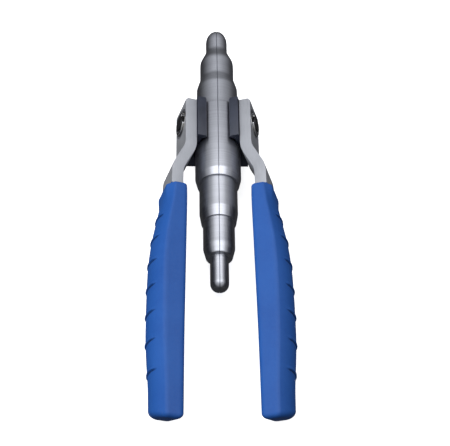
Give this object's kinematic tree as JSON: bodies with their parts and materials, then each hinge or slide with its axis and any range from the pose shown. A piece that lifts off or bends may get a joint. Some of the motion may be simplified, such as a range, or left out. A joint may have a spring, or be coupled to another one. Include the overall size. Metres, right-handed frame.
{
  "type": "hand tube expander",
  "caption": "Plier-type hand tube expander: a split, double-ended stepped mandrel in a black housing, opened sideways by two cranked steel arms with ribbed blue grips.",
  "frame": {"origin": "centre of the housing's flat back face, behind the middle of the mandrel", "axes": "+Y along the mandrel towards its upper nose (the grips point to -Y), +X to the right, +Z out of the open front of the housing"},
  "size_m": [0.0666, 0.2312, 0.0334],
  "materials": {
    "jaw_steel": "satin turned and ground tool steel",
    "housing_casting": "satin black coating on a steel block",
    "black_oxide": "black oxide on hardened steel",
    "zinc_plate": "bright zinc plate",
    "spring_steel": "bright drawn spring wire",
    "arm_steel": "pale grey satin nickel plate on flat bar",
    "grip_vinyl": "dipped blue vinyl with a soft sheen"
  },
  "bodies": {
    "housing": {"housing": "housing_casting", "guide_key": "black_oxide", "key_screws": "zinc_plate", "left_fulcrum_pin": "zinc_plate", "right_fulcrum_pin": "zinc_plate", "left_spring_seat": "zinc_plate", "right_spring_seat": "zinc_plate"},
    "left_jaw": {"left_jaw": "jaw_steel", "upper_guide_pin": "zinc_plate", "lower_guide_pin": "zinc_plate", "left_stud": "black_oxide", "left_washer": "zinc_plate", "left_clip": "zinc_plate", "left_spring": "spring_steel"},
    "right_jaw": {"right_jaw": "jaw_steel", "right_stud": "black_oxide", "right_washer": "zinc_plate", "right_clip": "zinc_plate", "right_spring": "spring_steel"},
    "left_handle": {"left_arm": "arm_steel", "left_grip": "grip_vinyl"},
    "right_handle": {"right_arm": "arm_steel", "right_grip": "grip_vinyl"}
  },
  "joints": [
    {"name": "left_squeeze", "type": "hinge", "parent": "housing", "child": "left_handle", "pos_m": [-0.01248, -0.0093, 0.01931], "axis": [0.2924, 0, 0.9563], "range_deg": [0, 5.8], "stiffness_Nm_per_rad": 0.54, "springref_deg": -14.9},
    {"name": "right_squeeze", "type": "hinge", "parent": "housing", "child": "right_handle", "pos_m": [0.01248, -0.0093, 0.01931], "axis": [0.2924, 0, -0.9563], "range_deg": [0, 5.8]},
    {"name": "left_jaw_slide", "type": "slide", "parent": "housing", "child": "left_jaw", "axis": [-1, 0, 0], "range_m": [0, 0.00107], "deforming": ["left_spring"]},
    {"name": "right_jaw_slide", "type": "slide", "parent": "housing", "child": "right_jaw", "axis": [1, 0, 0], "range_m": [0, 0.00107], "deforming": ["right_spring"]}
  ],
  "couplings": [
    {"joint": "right_squeeze", "follows": "left_squeeze", "ratio": 1},
    {"joint": "left_jaw_slide", "follows": "left_squeeze", "m_per_rad": 0.010561},
    {"joint": "right_jaw_slide", "follows": "left_squeeze", "m_per_rad": 0.010561}
  ]
}
